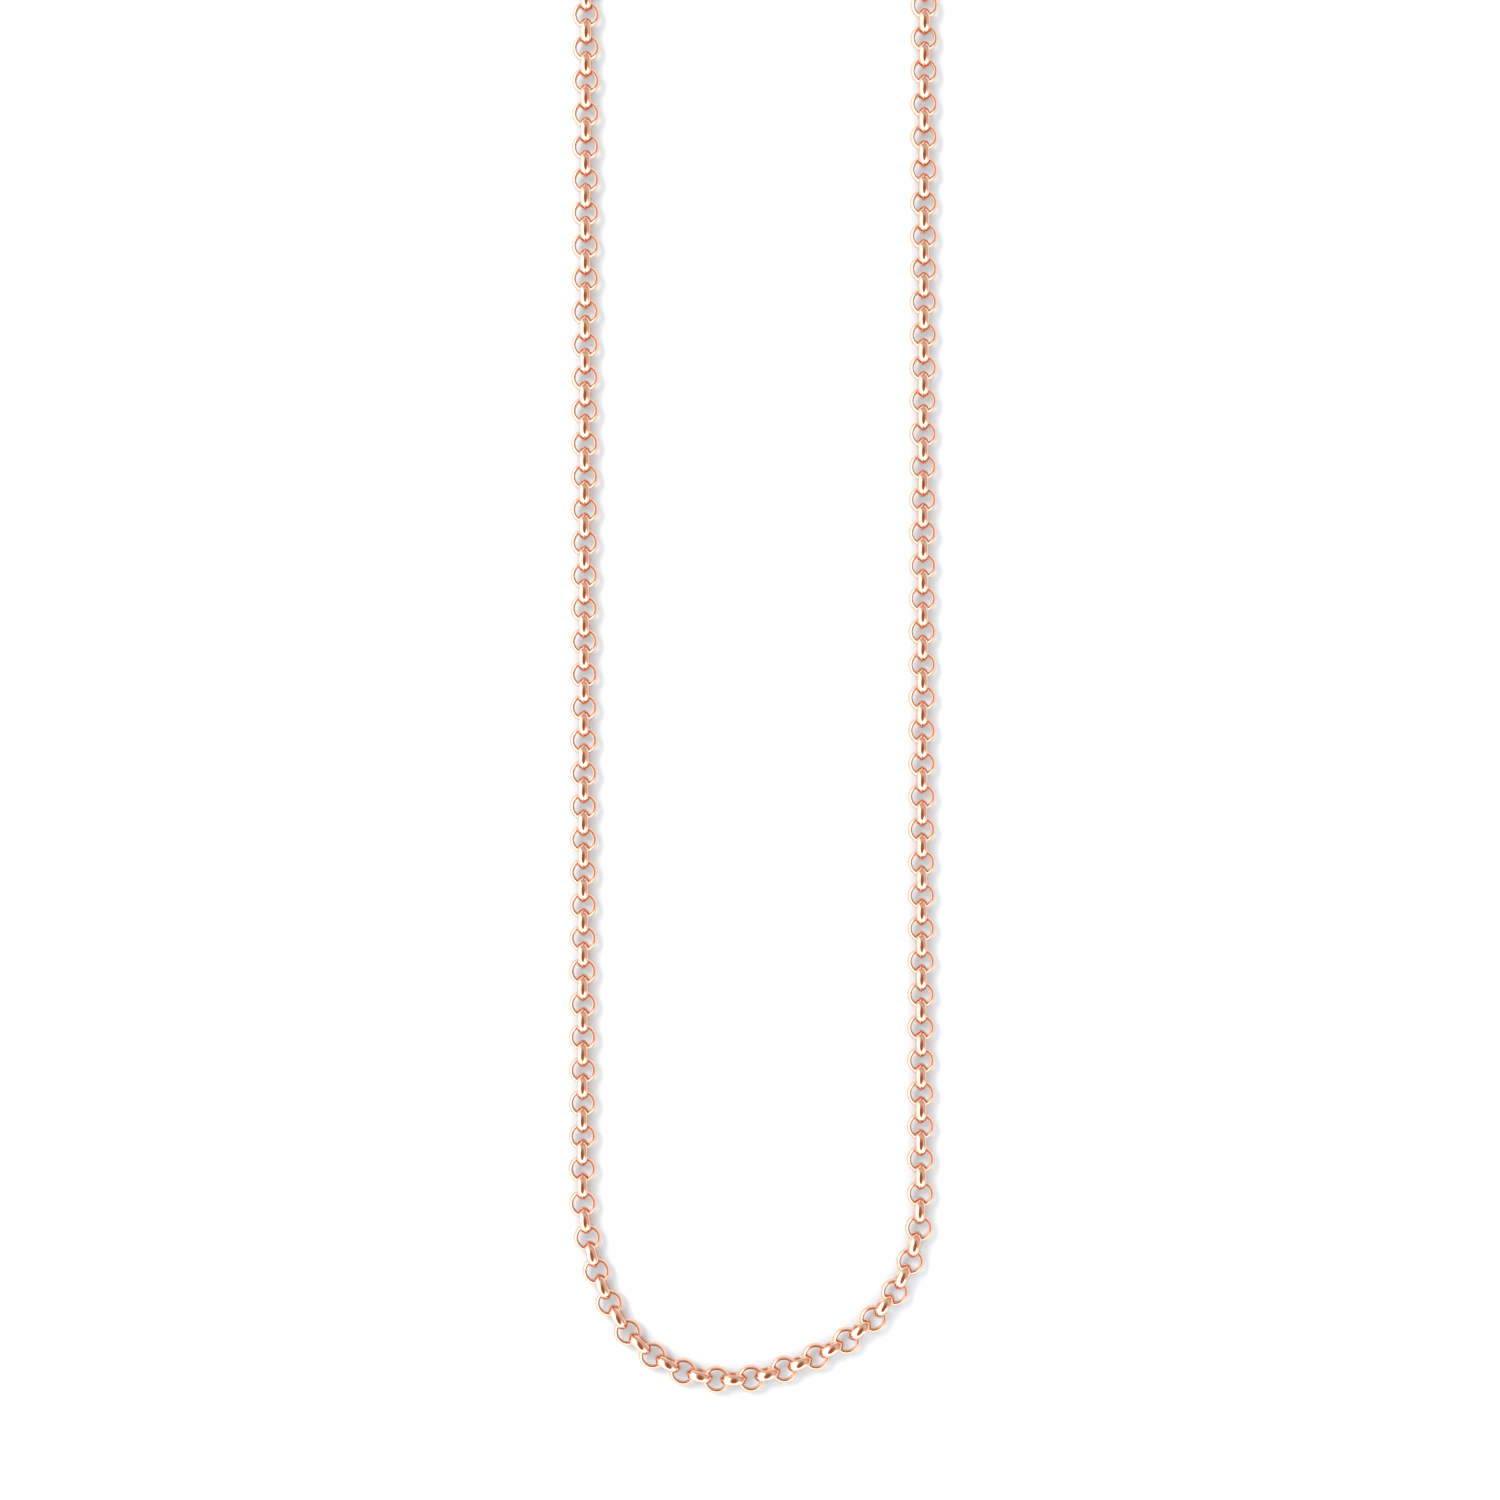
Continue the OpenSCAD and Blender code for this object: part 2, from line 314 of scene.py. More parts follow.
def linked_ring_tree():
    """Tree that puts one rounded link on each point, turned as the point's attribute says."""
    number, whole = "NodeSocketFloat", "NodeSocketInt"
    tree = new_group("belcher_links", "GeometryNodeTree",
                     [("Links", "NodeSocketGeometry"), ("Outer radius", number), ("Hole radius", number),
                      ("Half width", number), ("Inner rounding", number), ("Steps round", whole),
                      ("Steps across", whole), ("Metal", "NodeSocketMaterial")],
                     [("Links", "NodeSocketGeometry")])
    given = add_node(tree, "NodeGroupInput").outputs
    columns = maths(tree, "ADD", given["Steps round"], 1)
    rows = maths(tree, "ADD", given["Steps across"], 1)
    sheet = feed(tree, add_node(tree, "GeometryNodeMeshGrid"), Size_X=1.0, Size_Y=1.0,
                 Vertices_X=columns, Vertices_Y=rows)
    store = add_node(tree, "GeometryNodeStoreNamedAttribute", data_type="FLOAT2", domain="CORNER")
    mapped = feed(tree, store, Geometry=sheet.outputs["Mesh"], Name="UVMap", Value=sheet.outputs["UV Map"])
    place = add_node(tree, "ShaderNodeSeparateXYZ")
    tree.links.new(add_node(tree, "GeometryNodeInputPosition").outputs[0], place.inputs[0])
    round_link = maths(tree, "MULTIPLY", place.outputs["X"], FULL_TURN)
    round_wire = maths(tree, "MULTIPLY", place.outputs["Y"], FULL_TURN)
    outward = maths(tree, "COSINE", round_wire)
    sideways = maths(tree, "SINE", round_wire)

    # Outside the link's shoulders the wire is an arc, and inside them a flatter, squarer curve: a
    # superellipse, whose power is 2 for a plain ellipse and grows as it gets squarer.
    squareness = 2 / 2.8
    inside = maths(tree, "LESS_THAN", outward, 0)
    outside = maths(tree, "SUBTRACT", 1, inside)
    shoulder = maths(tree, "ADD", given["Hole radius"], given["Inner rounding"])
    rise = maths(tree, "SUBTRACT", given["Outer radius"], shoulder)
    half = given["Half width"]
    dome = maths(tree, "DIVIDE", maths(tree, "ADD", maths(tree, "MULTIPLY", half, half),
                                       maths(tree, "MULTIPLY", rise, rise)),
                 maths(tree, "MULTIPLY", rise, 2))
    dome_turn = maths(tree, "ARCSINE", maths(tree, "DIVIDE", half, dome))
    across_dome = maths(tree, "MULTIPLY", place.outputs["Y"], 4)    # -1 to 1 over half the sheet
    on_dome = maths(tree, "MULTIPLY", across_dome, dome_turn)
    dome_drop = maths(tree, "MULTIPLY", dome, maths(tree, "SUBTRACT", 1, maths(tree, "COSINE", on_dome)))
    dome_reach = maths(tree, "SUBTRACT", given["Outer radius"], dome_drop)
    dome_side = maths(tree, "MULTIPLY", dome, maths(tree, "SINE", on_dome))
    flat = maths(tree, "MULTIPLY", given["Inner rounding"],
                 maths(tree, "POWER", maths(tree, "ABSOLUTE", outward), squareness))
    flat_reach = maths(tree, "SUBTRACT", shoulder, flat)
    flat_side = maths(tree, "MULTIPLY", half, maths(tree, "MULTIPLY", maths(tree, "SIGN", sideways),
                      maths(tree, "POWER", maths(tree, "ABSOLUTE", sideways), squareness)))
    reach = maths(tree, "ADD", maths(tree, "MULTIPLY", dome_reach, outside),
                  maths(tree, "MULTIPLY", flat_reach, inside))
    side = maths(tree, "ADD", maths(tree, "MULTIPLY", dome_side, outside),
                 maths(tree, "MULTIPLY", flat_side, inside))
    bent = add_node(tree, "ShaderNodeCombineXYZ")
    feed(tree, bent, X=maths(tree, "MULTIPLY", reach, maths(tree, "COSINE", round_link)),
         Y=maths(tree, "MULTIPLY", reach, maths(tree, "SINE", round_link)),
         Z=side)
    rolled = feed(tree, add_node(tree, "GeometryNodeSetPosition"), Geometry=mapped.outputs["Geometry"],
                  Position=bent.outputs[0])
    closed = feed(tree, add_node(tree, "GeometryNodeMergeByDistance"), Geometry=rolled.outputs[0],
                  Distance=WELD)
    smooth = feed(tree, add_node(tree, "GeometryNodeSetShadeSmooth"), Geometry=closed.outputs[0])

    turn = feed(tree, add_node(tree, "GeometryNodeInputNamedAttribute", data_type="FLOAT_VECTOR"),
                Name="link_turn")
    turned = add_node(tree, "FunctionNodeEulerToRotation")
    tree.links.new(turn.outputs["Attribute"], turned.inputs[0])
    placed = feed(tree, add_node(tree, "GeometryNodeInstanceOnPoints"), Points=given["Links"],
                  Instance=smooth.outputs[0], Rotation=turned.outputs[0])
    whole_mesh = feed(tree, add_node(tree, "GeometryNodeRealizeInstances"), Geometry=placed.outputs[0])
    metal = feed(tree, add_node(tree, "GeometryNodeSetMaterial"), Geometry=whole_mesh.outputs[0],
                 Material=given["Metal"])
    tree.links.new(metal.outputs[0], add_node(tree, "NodeGroupOutput").inputs[0])
    return tree


# Shared effects of the finishes


def scratches_group():
    """Fine crossing scratches from polishing, as a height and a mask."""
    group = new_group("fine_scratches", "ShaderNodeTree",
                      [("Place", "NodeSocketVector"), ("Spacing", "NodeSocketFloat", 0.05 * MM),
                       ("Amount", "NodeSocketFloat", 0.5)],
                      [("Height", "NodeSocketFloat"), ("Mask", "NodeSocketFloat")])
    given = add_node(group, "NodeGroupInput").outputs
    fineness = maths(group, "DIVIDE", 1, given["Spacing"])
    streaks = []
    stretch = (1, 0.06, 0.4)
    scratch_from = 0.62
    for tilt in (25, -50, 80):
        turned = add_node(group, "ShaderNodeMapping")
        turned.inputs["Rotation"].default_value = (math.radians(tilt), math.radians(tilt / 2),
                                                   math.radians(tilt))
        turned.inputs["Scale"].default_value = stretch
        group.links.new(given["Place"], turned.inputs["Vector"])
        noise = feed(group, add_node(group, "ShaderNodeTexNoise"), Vector=turned.outputs[0],
                     Scale=fineness, Detail=2.0)
        line = maths(group, "GREATER_THAN", noise.outputs["Fac"], scratch_from)
        streaks.append(maths(group, "MULTIPLY", line, noise.outputs["Fac"]))
    total = maths(group, "ADD", maths(group, "ADD", streaks[0], streaks[1]), streaks[2])
    height = maths(group, "MULTIPLY", total, given["Amount"])
    out = add_node(group, "NodeGroupOutput")
    group.links.new(height, out.inputs["Height"])
    group.links.new(maths(group, "MINIMUM", height, 1), out.inputs["Mask"])
    return group


def tone_group():
    """Slow drift of a metal's tone over a piece, with a deeper colour and a duller finish added by a further
    input, which on the links is painted shade on the walls of their holes.
    """
    group = new_group("metal_tone", "ShaderNodeTree",
                      [("Place", "NodeSocketVector"), ("Bright", "NodeSocketColor"),
                       ("Deep", "NodeSocketColor"), ("Missed", "NodeSocketFloat", 0),
                       ("Drift", "NodeSocketFloat", 0.2), ("Patch size", "NodeSocketFloat", 1.5 * MM)],
                      [("Color", "NodeSocketColor"), ("Dullness", "NodeSocketFloat")])
    given = add_node(group, "NodeGroupInput").outputs
    noise = feed(group, add_node(group, "ShaderNodeTexNoise"), Vector=given["Place"],
                 Scale=maths(group, "DIVIDE", 1, given["Patch size"]), Detail=3.0)
    drift = maths(group, "MULTIPLY", noise.outputs["Fac"], given["Drift"])
    # The further input adds the painted shade of the links' hole walls to the random drift.
    share = maths(group, "MINIMUM", maths(group, "ADD", drift, given["Missed"]), 1)
    mixed = add_node(group, "ShaderNodeMix", data_type="RGBA")
    group.links.new(share, mixed.inputs["Factor"])
    group.links.new(given["Bright"], mixed.inputs[MIX_A])
    group.links.new(given["Deep"], mixed.inputs[MIX_B])
    out = add_node(group, "NodeGroupOutput")
    group.links.new(mixed.outputs[MIX_RESULT], out.inputs["Color"])
    group.links.new(share, out.inputs["Dullness"])
    return group


def placed_group(tree, group, place, **inputs):
    """One use of a shared effect in a material."""
    node = add_node(tree, "ShaderNodeGroup", node_tree=group)
    return feed(tree, node, Place=place, **inputs).outputs


def metal(name, bright, deep, polish, dull, shade_and_tone_mask=None, grooves=None):
    """A polished metal. Its mask function gives where its colour is deeper and its finish duller, which on
    the links is painted shade on their hole walls with some random tone, and grooves(tree) a further height.
    """
    scratch_dullness = 0.15
    bump_strength, bump_depth = 0.35, 0.004 * MM
    made = bpy.data.materials.new(name)
    made.use_nodes = True
    tree = made.node_tree
    surface = tree.nodes["Principled BSDF"]
    surface.inputs["Metallic"].default_value = 1
    place = add_node(tree, "ShaderNodeTexCoord").outputs["Object"]
    finish = bpy.context.scene.necklace.finish
    # On the links this share is painted shade on the hole walls, with their random tone: it deepens the
    # colour and dulls the finish.
    shade_and_tone_share = shade_and_tone_mask(tree) if shade_and_tone_mask else 0
    tone = placed_group(tree, shared("metal_tone", tone_group), place, Bright=(*bright, 1),
                        Deep=(*deep, 1), Missed=shade_and_tone_share)
    scratch = placed_group(tree, shared("fine_scratches", scratches_group), place,
                           Amount=finish.scratches)
    tree.links.new(tone["Color"], surface.inputs["Base Color"])
    rough = maths(tree, "ADD", maths(tree, "MULTIPLY_ADD", tone["Dullness"], dull - polish, polish),
                  maths(tree, "MULTIPLY", scratch["Mask"], scratch_dullness))
    tree.links.new(rough, surface.inputs["Roughness"])
    height = scratch["Height"]
    if grooves:
        height = maths(tree, "ADD", height, grooves(tree))
    bump = feed(tree, add_node(tree, "ShaderNodeBump"), Strength=bump_strength, Distance=bump_depth,
                Height=height)
    tree.links.new(bump.outputs["Normal"], surface.inputs["Normal"])
    return made


def shared(name, make):
    """A node group that is built once."""
    return bpy.data.node_groups.get(name) or make()


def link_map(tree, axis):
    """Share of the turn round the link, for X, or round its wire, for Y, on the link's own map."""
    split = add_node(tree, "ShaderNodeSeparateXYZ")
    tree.links.new(add_node(tree, "ShaderNodeUVMap", uv_map="UVMap").outputs["UV"], split.inputs[0])
    return split.outputs[axis]


def painted_hole_shade_and_tone(tree):
    """Painted shade on the wall of the link's hole, a deeper colour that also dulls the finish there, and a
    little more deep tone at random on some links.
    """
    crown = 0.5
    shoulder, wall = 0.22, 0.42     # distances from the crown
    # How deep the painted shade on the hole's wall goes, and how much deep tone the random pick adds.
    wall_shade, tone_share = 0.8, 0.12
    from_crown = maths(tree, "ABSOLUTE", maths(tree, "SUBTRACT", link_map(tree, "Y"), crown))
    hole = feed(tree, add_node(tree, "ShaderNodeMapRange", interpolation_type="SMOOTHSTEP"),
                Value=from_crown, From_Min=shoulder, From_Max=wall, To_Min=0.0, To_Max=wall_shade)
    tone = add_node(tree, "ShaderNodeAttribute", attribute_name="link_tone")
    return maths(tree, "ADD", hole.outputs[0], maths(tree, "MULTIPLY", tone.outputs["Fac"], tone_share))


def solder_seam(tree):
    """Height of the fine line where a link's wire was closed."""
    seam, half_line = 0.75, 0.006
    line_height = -0.6
    off_seam = maths(tree, "ABSOLUTE", maths(tree, "SUBTRACT", link_map(tree, "X"), seam))
    return maths(tree, "MULTIPLY", maths(tree, "LESS_THAN", off_seam, half_line), line_height)


def link_metal():
    """Rose gold of the links."""
    finish = bpy.context.scene.necklace.finish
    dull = finish.polish + 0.22
    # The links' deeper colour on their hole walls is painted shade.
    return metal("polished_rose_gold_links", finish.gold, finish.deep_gold, finish.polish, dull,
                 painted_hole_shade_and_tone, solder_seam)


def clasp_metal():
    """Rose gold of the rings and the clasp."""
    finish = bpy.context.scene.necklace.finish
    dull = finish.polish + 0.2
    return metal("polished_rose_gold_clasp", finish.gold, finish.deep_gold, finish.polish, dull)


def spring_steel():
    """Drawn steel wire of the bolt's spring."""
    bright = bpy.context.scene.necklace.finish.steel
    deep = [part * 0.6 for part in bright]
    polish, dull = 0.22, 0.45
    return metal("drawn_spring_steel", bright, deep, polish, dull)


def material(name, make):
    """A material that is built once."""
    return bpy.data.materials.get(name) or make()


# Pieces


def new_object(name, mesh):
    """An object for a mesh, in the scene."""
    made = bpy.data.objects.new(name, mesh)
    bpy.context.scene.collection.objects.link(made)
    return made


def finished(piece, node):
    """Puts a finished piece on the body of the CAD node that it stands for."""
    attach(piece, BODY_OF[node])
    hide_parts(node)
    return piece


def chain_directions(found):
    """The way the chain runs at each ring of one length."""
    centres = [ring.centre for ring in found]
    last = len(centres) - 1
    return [centres[min(index + 1, last)] - centres[max(index - 1, 0)] for index in range(len(centres))]


def link_points(node, tones):
    """One vertex for each link of a chain node, with the link's turn and tone."""
    found = rings(node)
    mesh = bpy.data.meshes.new(node + "_points")
    mesh.from_pydata([ring.centre for ring in found], [], [])
    mesh.attributes.new("link_turn", "FLOAT_VECTOR", "POINT")
    mesh.attributes.new("link_tone", "FLOAT", "POINT")
    for index, (ring, towards) in enumerate(zip(found, chain_directions(found))):
        mesh.attributes["link_turn"].data[index].vector = ring.turn(towards).to_euler()[:]
        mesh.attributes["link_tone"].data[index].value = tones.random()
    return new_object(node + "_points", mesh)


def five_links(node, tree, tones):
    """The plain mesh of one length of chain, from the link tree."""
    sizes = bpy.context.scene.necklace.chain
    points = link_points(node, tones)
    modifier = points.modifiers.new("links", "NODES")
    modifier.node_group = tree
    values = {"Outer radius": sizes.outer_radius, "Hole radius": sizes.inner_radius,
              "Half width": sizes.half_width, "Inner rounding": sizes.inner_round,
              "Steps round": sizes.steps_round, "Steps across": sizes.steps_across,
              "Metal": material("polished_rose_gold_links", link_metal)}
    for socket in tree.interface.items_tree:
        if socket.in_out == "INPUT" and socket.name in values:
            modifier[socket.identifier] = values[socket.name]
    depsgraph = bpy.context.evaluated_depsgraph_get()
    mesh = bpy.data.meshes.new_from_object(points.evaluated_get(depsgraph), preserve_all_data_layers=True,
                                           depsgraph=depsgraph)
    mesh.name = node + "_links"
    bpy.data.objects.remove(points)
    return finished(new_object(node + "_links", mesh), node)


class NECKLACE_OT_chain(bpy.types.Operator):
    """Make every link of the chain"""

    bl_idname = "necklace.chain"
    bl_label = "Chain"

    def execute(self, context):
        tree = linked_ring_tree()
        tones = random.Random(context.scene.necklace.chain.tone_seed)
        for node in CHAIN_NODES:
            piece = five_links(node, tree, tones)
            if not piece.data.polygons:
                raise RuntimeError(f"the link tree made nothing for {node}")
        return {"FINISHED"}


# Mesh work of the clasp


def loop(middle, out, up, radii, angles):
    """Points round one section of a piece, in the plane of out and up."""
    return [middle + (out * math.cos(angle) + up * math.sin(angle)) * radius
            for radius, angle in zip(radii, angles)]


def even(sides):
    """Angles all round a section."""
    return [FULL_TURN * side / sides for side in range(sides)]


def skin(rows, closed_along=False):
    """Shape whose faces join each row of points to the next, with the lines of its vertices."""
    shape = bmesh.new()
    lines = [[shape.verts.new(point) for point in row] for row in rows]
    pairs = list(zip(lines, lines[1:]))
    if closed_along:
        pairs.append((lines[-1], lines[0]))
    for low, high in pairs:
        for side in range(len(low)):
            after = (side + 1) % len(low)
            shape.faces.new((low[side], low[after], high[after], high[side]))
    return shape, lines


def closed_mesh(shape, name):
    """Mesh of a shape with its poles and seams merged, smooth but for its real edges."""
    bmesh.ops.remove_doubles(shape, verts=shape.verts, dist=WELD)
    bmesh.ops.recalc_face_normals(shape, faces=shape.faces)
    for face in shape.faces:
        face.smooth = True
    for edge in shape.edges:
        edge.smooth = edge.calc_face_angle(math.pi) < SHARP_EDGE
    if any(len(edge.link_faces) != 2 for edge in shape.edges):
        raise RuntimeError(f"{name} isn't closed")
    mesh = bpy.data.meshes.new(name)
    shape.to_mesh(mesh)
    shape.free()
    return mesh


CLASP_FINISHES = {"clasp_metal": ("polished_rose_gold_clasp", clasp_metal),
                  "spring_steel": ("drawn_spring_steel", spring_steel)}


def clasp_piece(name, shape, node, slot="clasp_metal"):
    """The finished piece for a CAD node of the clasp."""
    piece = new_object(name, closed_mesh(shape, name))
    piece.data.materials.append(material(*CLASP_FINISHES[slot]))
    return finished(piece, node)


def level_way(turn):
    """Level direction at a turn from +X."""
    return Vector((math.cos(turn), math.sin(turn), 0))


def round_wire(centre, ring_radius, profile, sides, closed_along=False):
    """Round wire bent to a level ring. The profile gives its radius at each turn."""
    rows = []
    for turn, radius in profile:
        out = level_way(turn)
        rows.append(loop(centre + out * ring_radius, out, UP, [radius] * sides, even(sides)))
    return skin(rows, closed_along)[0]


def clasp_rod(profile):
    """Round rod that follows the bolt ring's own curve."""
    return round_wire(CLASP_CENTRE, bpy.context.scene.necklace.clasp.ring_radius, profile, ROD_SIDES)


def between(start, end, steps):
    """Evenly spaced values from start to end."""
    return [start + (end - start) * step / steps for step in range(steps + 1)]


def jump_ring_shape():
    """Jump ring closed with pliers: its nipped ends meet at one side."""
    ring = Ring(solids("clasp_jump_ring")[0])
    wire = ring.half_width
    radius = ring.outer - wire
    gap = 0.02 * MM / radius
    nip = 0.07 * MM / radius
    cut = math.radians(14)
    start, end = cut + gap, cut + FULL_TURN - gap
    end_radius, nip_radius = wire * 0.86, wire * 0.95
    part_nip = nip * 0.4
    steps = 88
    profile = [(start, 0), (start, end_radius), (start + part_nip, nip_radius)]
    profile += [(turn, wire) for turn in between(start + nip, end - nip, steps)]
    profile += [(end - part_nip, nip_radius), (end, end_radius), (end, 0)]
    return round_wire(ring.centre, radius, profile, WIRE_SIDES)


def end_ring_shape():
    """Soldered end ring, a little filed down at its seam and worn where it hangs in the last link."""
    ring = Ring(solids("end_ring")[0])
    wire = ring.half_width
    seam, filed = math.radians(50), math.radians(5)
    rub, worn = math.radians(270), math.radians(32)
    filed_cut, line_cut, worn_cut = 0.035, 0.02, 0.1    # shares of the wire's radius
    line_fineness = 36
    near_steps, far_steps = 18, 84

    def wire_at(turn):
        off_seam = (turn - seam) / filed
        off_rub = (turn - rub) / worn
        solder = filed_cut * math.exp(-off_seam ** 2) + line_cut * math.exp(-line_fineness * off_seam ** 2)
        return wire * (1 - solder - worn_cut * math.exp(-off_rub ** 4))

    near = between(seam - 1.5 * filed, seam + 1.5 * filed, near_steps)
    far = between(near[-1], near[0] + FULL_TURN, far_steps)[1:-1]
    profile = [(turn, wire_at(turn)) for turn in near + far]
    return round_wire(ring.centre, ring.outer - wire, profile, WIRE_SIDES, closed_along=True)


class NECKLACE_OT_rings(bpy.types.Operator):
    """Make the jump ring and the end ring"""

    bl_idname = "necklace.rings"
    bl_label = "Jump ring and end ring"

    def execute(self, context):
        clasp_piece("jump_ring_wire", jump_ring_shape(), "clasp_jump_ring")
        clasp_piece("end_ring_wire", end_ring_shape(), "end_ring")
        return {"FINISHED"}


# Lines of vertices across the thumb slot, as shares of its half width.
SLOT_SPREAD = (-1, -0.7, 0, 0.7, 1)


def tube_angles(radius, slot_half, sides):
    """Angles round the tube, with lines of vertices along both edges of the thumb slot."""
    edge = math.asin(slot_half / radius)
    rest = between(edge, FULL_TURN - edge, sides - len(SLOT_SPREAD) + 1)[1:-1]
    return [edge * share for share in SLOT_SPREAD] + rest


def tube_row(sizes, turn, radius, sides, slot_end=0):
    """One loop round the tube. Its middle bulges back at the slot's start (-1) and on at its end (1)."""
    row = []
    for column, angle in enumerate(tube_angles(radius, sizes.slot_half, sides)):
        bulge = 0
        if column < len(SLOT_SPREAD):
            bulge = slot_end * math.sqrt(1 - SLOT_SPREAD[column] ** 2) * sizes.slot_half
        out = level_way(turn + bulge / (sizes.ring_radius + radius))
        reach = sizes.ring_radius + radius * math.cos(angle)
        row.append(CLASP_CENTRE + out * reach + UP * (radius * math.sin(angle)))
    return row


def bolt_ring_tube(sizes):
    """C-shaped tube with rolled lips and a round-ended thumb slot in its outer wall."""
    sides, slot_steps, tube_steps, lip_steps = 36, 14, 66, 6
    lip = (sizes.tube_radius - sizes.bore_radius) / 2
    middle = sizes.bore_radius + lip
    lip_turn = lip / sizes.ring_radius
    mouth_end = sizes.mouth_start + sizes.mouth_turn
    knob_at = mouth_end + sizes.knob_turn
    round_turn = sizes.slot_half / (sizes.ring_radius + sizes.tube_radius)
    slot_from = knob_at - sizes.slot_margin + round_turn
    slot_to = knob_at + sizes.mouth_turn + sizes.slot_margin - round_turn
    first, last = mouth_end + lip_turn, sizes.mouth_start + FULL_TURN - lip_turn
    slot_turns = between(slot_from, slot_to, slot_steps)
    turns = [first] + slot_turns + between(slot_to + 2 * round_turn, last, tube_steps)
    slot_first, slot_last = 1, len(slot_turns)
    slot_ends = {slot_first: -1, slot_last: 1}

    def wall(radius):
        return [tube_row(sizes, turn, radius, sides, slot_ends.get(row, 0))
                for row, turn in enumerate(turns)]

    def rolled(turn, way):
        return [tube_row(sizes, turn + way * lip_turn * math.sin(bend), middle + lip * math.cos(bend), sides)
                for bend in between(0, math.pi, lip_steps)[1:-1]]

    outer, inner = wall(sizes.tube_radius), wall(sizes.bore_radius)
    far_lip, near_lip = rolled(last, 1), rolled(first, -1)
    shape, lines = skin(outer + far_lip + inner[::-1] + near_lip[::-1], closed_along=True)
    inner_from = len(outer) + len(far_lip)
    outside = lines[:len(outer)]
    inside = lines[inner_from:inner_from + len(inner)][::-1]
    cut_slot(shape, outside, inside, slot_first, slot_last)
    return shape


def cut_slot(shape, outside, inside, first, last):
    """Cuts the thumb slot through both walls of the tube and rounds its rim."""
    rim_round = 0.04 * MM
    rim_angle = math.radians(50)
    edge = len(SLOT_SPREAD) - 1
    for wall in (outside, inside):
        window = [shape.faces.get((wall[row][column], wall[row][column + 1],
                                   wall[row + 1][column + 1], wall[row + 1][column]))
                  for row in range(first, last) for column in range(edge)]
        bmesh.ops.delete(shape, geom=window, context="FACES")
    rim = [(row, edge) for row in range(first, last)]
    rim += [(last, column) for column in range(edge, 0, -1)]
    rim += [(row, 0) for row in range(last, first, -1)]
    rim += [(first, column) for column in range(edge)]
    for (row, column), (next_row, next_column) in zip(rim, rim[1:] + rim[:1]):
        shape.faces.new((outside[row][column], outside[next_row][next_column],
                         inside[next_row][next_column], inside[row][column]))
    bmesh.ops.recalc_face_normals(shape, faces=shape.faces)
    rim_edges = [joined for joined in shape.edges if joined.calc_face_angle(0) > rim_angle]
    bmesh.ops.bevel(shape, geom=rim_edges, offset=rim_round, segments=2, profile=0.5, affect="EDGES")


def tail_eye(sizes):
    """Eye on edge behind the tube, its wire spread by the solder where it meets the tube."""
    steps = 72
    solder_swell, solder_turn = 0.4, 0.5
    low_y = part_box("bolt_ring_body")[0][1]
    centre = Vector((CLASP_CENTRE.x, low_y + sizes.eye_radius + sizes.eye_wire, CLASP_CENTRE.z))
    rows = []
    for turn in even(steps):
        off_solder = min(turn, FULL_TURN - turn) / solder_turn
        spread = sizes.eye_wire * (1 + solder_swell * math.exp(-off_solder ** 2))
        out = Vector((0, math.cos(turn), math.sin(turn)))
        middle = centre + out * sizes.eye_radius
        deep, wide = out * sizes.eye_wire, Vector((spread, 0, 0))
        rows.append([middle + deep * math.cos(angle) + wide * math.sin(angle)
                     for angle in even(WIRE_SIDES)])
    return skin(rows, closed_along=True)[0]


def united(first, second):
    """One closed shape from two that overlap."""
    objects = [new_object("half", closed_mesh(shape, "half")) for shape in (first, second)]
    joining = objects[0].modifiers.new("joining", "BOOLEAN")
    joining.operation = "UNION"
    joining.solver = "EXACT"
    joining.object = objects[1]
    depsgraph = bpy.context.evaluated_depsgraph_get()
    mesh = bpy.data.meshes.new_from_object(objects[0].evaluated_get(depsgraph))
    for made in objects:
        bpy.data.objects.remove(made)
    shape = bmesh.new()
    shape.from_mesh(mesh)
    bpy.data.meshes.remove(mesh)
    return shape


class NECKLACE_OT_bolt_ring(bpy.types.Operator):
    """Make the bolt ring's tube with its tail eye"""

    bl_idname = "necklace.bolt_ring"
    bl_label = "Bolt ring"

    def execute(self, context):
        sizes = context.scene.necklace.clasp
        clasp_piece("bolt_ring_shell", united(bolt_ring_tube(sizes), tail_eye(sizes)), "bolt_ring_body")
        return {"FINISHED"}


def node_turns(node):
    """Turns from +X round the bolt ring at which a curved node of the clasp begins and ends."""
    places = solids(node)[0] - np.array(CLASP_CENTRE)
    turns = np.arctan2(places[:, 1], places[:, 0]) % FULL_TURN
    return turns.min(), turns.max()


def stop_shape():
    """Plug with chamfered ends that closes the tube behind the spring."""
    sizes = bpy.context.scene.necklace.clasp
    start, end = node_turns("spring_stop")
    steps = 12
    chamfer = 0.06 * MM
    chamfer_turn = chamfer / sizes.ring_radius
    radius = sizes.bore_radius
    profile = [(start, 0), (start, radius - chamfer)]
    profile += [(turn, radius) for turn in between(start + chamfer_turn, end - chamfer_turn, steps)]
    profile += [(end, radius - chamfer), (end, 0)]
    return clasp_rod(profile)


